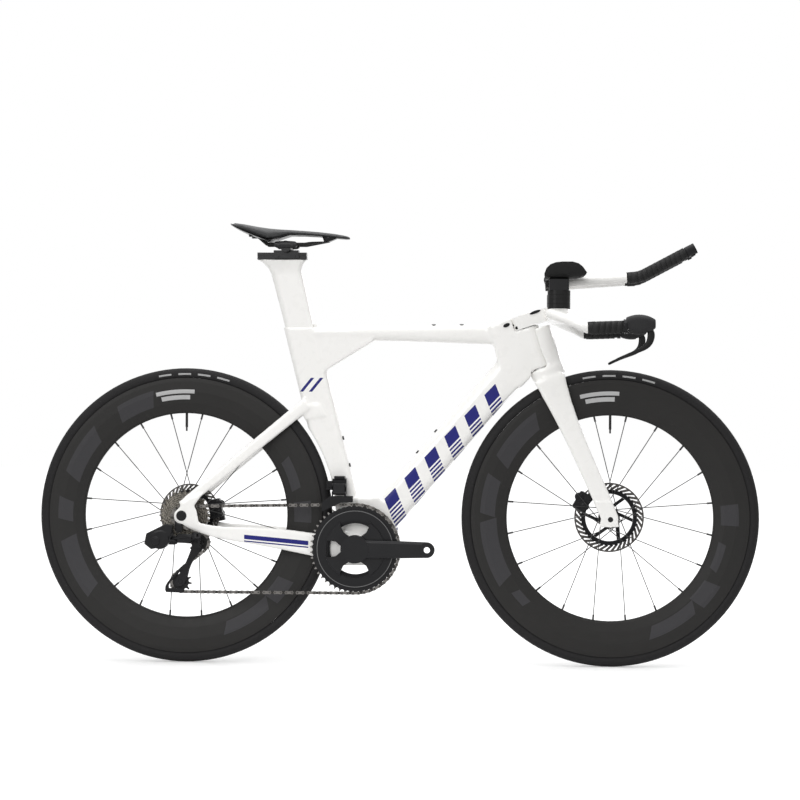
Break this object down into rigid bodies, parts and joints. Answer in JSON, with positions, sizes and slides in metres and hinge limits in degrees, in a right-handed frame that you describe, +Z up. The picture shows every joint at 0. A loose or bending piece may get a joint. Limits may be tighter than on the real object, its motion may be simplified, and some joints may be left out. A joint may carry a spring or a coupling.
{
  "type": "time trial bicycle",
  "caption": "Time trial bicycle with deep rims, disc brakes, a low base bar, raised aero extensions with armrests, a sliding saddle clamp and a geared chain drive.",
  "frame": {"origin": "on the ground midway between the two wheel axles, in the bike's middle plane", "axes": "+X forward, +Y to the rider's left, +Z up; the drive side faces -Y"},
  "size_m": [1.653, 0.43, 1.012],
  "materials": {
    "pearl_paint": "gloss pearl",
    "tyre_rubber": "matte",
    "carbon_rim": "satin carbon",
    "black_steel": "satin black",
    "black_alloy": "satin black",
    "derailleur_plastic": "semi gloss",
    "steel": "brushed",
    "plated_steel": "nickel",
    "dark_steel": "oiled",
    "saddle_skin": "matte",
    "foam_fabric": "matte",
    "grip_rubber": "matte",
    "pad_compound": "dull"
  },
  "bodies": {
    "frame": {"front_triangle": "pearl_paint", "chainstays": "pearl_paint", "seatstays": "pearl_paint", "frame_hardware": "black_steel", "frame_bearings": "steel", "rear_caliper": "black_alloy", "front_derailleur_body": "black_alloy", "rear_derailleur_body": "derailleur_plastic", "chain": "dark_steel"},
    "mast": {"seatpost": "pearl_paint", "saddle_rail": "black_alloy"},
    "carriage": {"saddle_carriage": "black_alloy"},
    "saddle": {"saddle_cradle": "black_alloy", "saddle_cover": "saddle_skin", "saddle_base": "derailleur_plastic", "saddle_rails": "steel"},
    "steering": {"fork": "pearl_paint", "stem": "pearl_paint", "front_axle": "black_steel", "base_bar": "pearl_paint", "bar_tape": "grip_rubber", "brake_hoods": "grip_rubber", "riser_spacers": "black_alloy", "armrest_cups": "derailleur_plastic", "armrest_pads": "foam_fabric", "extension_clamps": "black_alloy", "front_caliper": "black_alloy"},
    "front_wheel": {"front_tyre": "tyre_rubber", "front_rim": "carbon_rim", "front_spokes": "black_steel", "front_hub": "black_alloy", "front_rotor": "steel"},
    "rear_wheel": {"rear_tyre": "tyre_rubber", "rear_rim": "carbon_rim", "rear_spokes": "black_steel", "rear_hub": "black_alloy", "rear_rotor": "steel"},
    "cassette": {"cassette": "plated_steel"},
    "crankset": {"right_crank": "black_alloy", "left_crank": "black_alloy", "chainrings": "black_alloy"},
    "rear_swing_link": {"rear_derailleur_link": "derailleur_plastic"},
    "rear_knuckle": {"rear_derailleur_knuckle": "derailleur_plastic"},
    "rear_cage": {"derailleur_cage": "derailleur_plastic"},
    "guide_pulley": {"guide_pulley": "derailleur_plastic"},
    "tension_pulley": {"tension_pulley": "derailleur_plastic"},
    "front_swing_link": {"front_derailleur_link": "black_alloy"},
    "front_cage": {"front_derailleur_cage": "black_alloy"},
    "left_extension": {"left_extension": "pearl_paint", "left_extension_grip": "grip_rubber"},
    "left_button": {"left_shift_button": "derailleur_plastic"},
    "left_lever": {"left_brake_lever": "derailleur_plastic"},
    "right_extension": {"right_extension": "pearl_paint", "right_extension_grip": "grip_rubber"},
    "right_button": {"right_shift_button": "derailleur_plastic"},
    "right_lever": {"right_brake_lever": "derailleur_plastic"},
    "front_left_pad": {"front_left_brake_pad": "pad_compound"},
    "front_right_pad": {"front_right_brake_pad": "pad_compound"},
    "rear_left_pad": {"rear_left_brake_pad": "pad_compound"},
    "rear_right_pad": {"rear_right_brake_pad": "pad_compound"}
  },
  "joints": [
    {"name": "steering_turn", "type": "hinge", "parent": "frame", "child": "steering", "pos_m": [0.44565, 0, 0.3254], "axis": [-0.309, 0, 0.9511], "range_deg": [-40, 40]},
    {"name": "front_wheel_spin", "type": "hinge", "parent": "steering", "child": "front_wheel", "pos_m": [0.4875, 0, 0.339], "axis": [0, 1, 0], "continuous": true},
    {"name": "rear_wheel_spin", "type": "hinge", "parent": "frame", "child": "rear_wheel", "pos_m": [-0.4875, 0, 0.339], "axis": [0, 1, 0], "continuous": true},
    {"name": "crank_turn", "type": "hinge", "parent": "frame", "child": "crankset", "pos_m": [-0.092, 0, 0.267], "axis": [0, 1, 0], "continuous": true, "deforming": ["chain"]},
    {"name": "cassette_turn", "type": "hinge", "parent": "frame", "child": "cassette", "pos_m": [-0.4875, 0, 0.339], "axis": [0, 1, 0], "continuous": true},
    {"name": "seat_height", "type": "slide", "parent": "frame", "child": "mast", "axis": [-0.2419, 0, 0.9703], "range_m": [-0.03, 0.06]},
    {"name": "saddle_setback", "type": "slide", "parent": "mast", "child": "carriage", "axis": [1, 0, 0], "range_m": [-0.03, 0.015]},
    {"name": "saddle_tilt", "type": "hinge", "parent": "carriage", "child": "saddle", "pos_m": [-0.25705, 0, 0.95848], "axis": [0, 1, 0], "range_deg": [-5, 5]},
    {"name": "rear_shift", "type": "hinge", "parent": "frame", "child": "rear_swing_link", "pos_m": [-0.501, -0.086, 0.286], "axis": [0, 0.5736, 0.8192], "range_deg": [0, 53]},
    {"name": "rear_knuckle_turn", "type": "hinge", "parent": "rear_swing_link", "child": "rear_knuckle", "pos_m": [-0.4527, -0.0966, 0.29342], "axis": [0, 0.5736, 0.8192], "range_deg": [-53, 0]},
    {"name": "rear_cage_swing", "type": "hinge", "parent": "rear_knuckle", "child": "rear_cage", "pos_m": [-0.4475, -0.075, 0.28], "axis": [0, 1, 0], "range_deg": [-40, 0], "stiffness_Nm_per_rad": 0.8, "springref_deg": 34.38},
    {"name": "guide_pulley_turn", "type": "hinge", "parent": "rear_cage", "child": "guide_pulley", "pos_m": [-0.4475, -0.064, 0.28], "axis": [0, 1, 0], "continuous": true},
    {"name": "tension_pulley_turn", "type": "hinge", "parent": "rear_cage", "child": "tension_pulley", "pos_m": [-0.48937, -0.064, 0.18952], "axis": [0, 1, 0], "continuous": true},
    {"name": "front_shift", "type": "hinge", "parent": "frame", "child": "front_swing_link", "pos_m": [-0.13, -0.041, 0.412], "axis": [1, 0, 0], "range_deg": [0, 21]},
    {"name": "front_cage_turn", "type": "hinge", "parent": "front_swing_link", "child": "front_cage", "pos_m": [-0.13, -0.048, 0.394], "axis": [1, 0, 0], "range_deg": [-21, 0]},
    {"name": "left_extension_reach", "type": "slide", "parent": "steering", "child": "left_extension", "axis": [0.9976, 0, 0.0698], "range_m": [-0.03, 0.006]},
    {"name": "left_button_press", "type": "slide", "parent": "left_extension", "child": "left_button", "axis": [-0.4695, 0, 0.8829], "range_m": [0, 0.0015], "stiffness_N_per_m": 600, "springref_m": -0.001},
    {"name": "left_lever_pull", "type": "hinge", "parent": "steering", "child": "left_lever", "pos_m": [0.56597, 0.2, 0.76801], "axis": [0, 1, 0], "range_deg": [0, 20], "stiffness_Nm_per_rad": 1.5, "springref_deg": -11.46},
    {"name": "right_extension_reach", "type": "slide", "parent": "steering", "child": "right_extension", "axis": [0.9976, 0, 0.0698], "range_m": [-0.03, 0.006]},
    {"name": "right_button_press", "type": "slide", "parent": "right_extension", "child": "right_button", "axis": [-0.4695, 0, 0.8829], "range_m": [0, 0.0015], "stiffness_N_per_m": 600, "springref_m": -0.001},
    {"name": "right_lever_pull", "type": "hinge", "parent": "steering", "child": "right_lever", "pos_m": [0.56597, -0.2, 0.76801], "axis": [0, 1, 0], "range_deg": [0, 20], "stiffness_Nm_per_rad": 1.5, "springref_deg": -11.46},
    {"name": "front_left_pad_slide", "type": "slide", "parent": "steering", "child": "front_left_pad", "axis": [0, -1, 0], "range_m": [0, 0.0003]},
    {"name": "front_right_pad_slide", "type": "slide", "parent": "steering", "child": "front_right_pad", "axis": [0, 1, 0], "range_m": [0, 0.0003]},
    {"name": "rear_left_pad_slide", "type": "slide", "parent": "frame", "child": "rear_left_pad", "axis": [0, -1, 0], "range_m": [0, 0.0003]},
    {"name": "rear_right_pad_slide", "type": "slide", "parent": "frame", "child": "rear_right_pad", "axis": [0, 1, 0], "range_m": [0, 0.0003]}
  ],
  "couplings": [
    {"joint": "cassette_turn", "follows": "crank_turn", "ratio": 4.5455},
    {"joint": "guide_pulley_turn", "follows": "crank_turn", "ratio": -4.5455},
    {"joint": "tension_pulley_turn", "follows": "crank_turn", "ratio": 4.5455},
    {"joint": "rear_knuckle_turn", "follows": "rear_shift", "ratio": -1},
    {"joint": "front_cage_turn", "follows": "front_shift", "ratio": -1},
    {"joint": "front_left_pad_slide", "follows": "left_lever_pull", "m_per_rad": 0.00085},
    {"joint": "front_right_pad_slide", "follows": "left_lever_pull", "m_per_rad": 0.00085},
    {"joint": "rear_left_pad_slide", "follows": "right_lever_pull", "m_per_rad": 0.00085},
    {"joint": "rear_right_pad_slide", "follows": "right_lever_pull", "m_per_rad": 0.00085}
  ]
}
